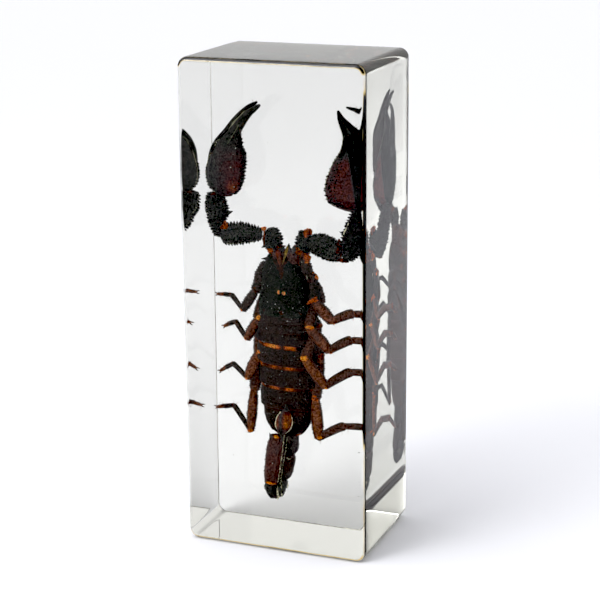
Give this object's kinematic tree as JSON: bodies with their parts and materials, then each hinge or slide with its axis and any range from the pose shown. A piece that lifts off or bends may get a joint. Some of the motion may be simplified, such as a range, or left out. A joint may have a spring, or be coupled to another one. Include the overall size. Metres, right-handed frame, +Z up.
{
  "type": "scorpion in resin block",
  "caption": "Dried scorpion cast whole in a clear resin block that stands upright on its small end, for display and close viewing.",
  "frame": {"origin": "centre of the block's base, on the surface that it stands on", "axes": "+Z up along the block, -Y out of its wide front face, which the scorpion's back is turned to, +X to the right seen from the front"},
  "size_m": [0.044, 0.03, 0.1134],
  "materials": {
    "clear_resin": "polished, clear",
    "dried_chitin": "granular, half gloss"
  },
  "bodies": {
    "root": {"resin_front": "clear_resin", "resin_back": "clear_resin", "scorpion": "dried_chitin"}
  },
  "joints": []
}
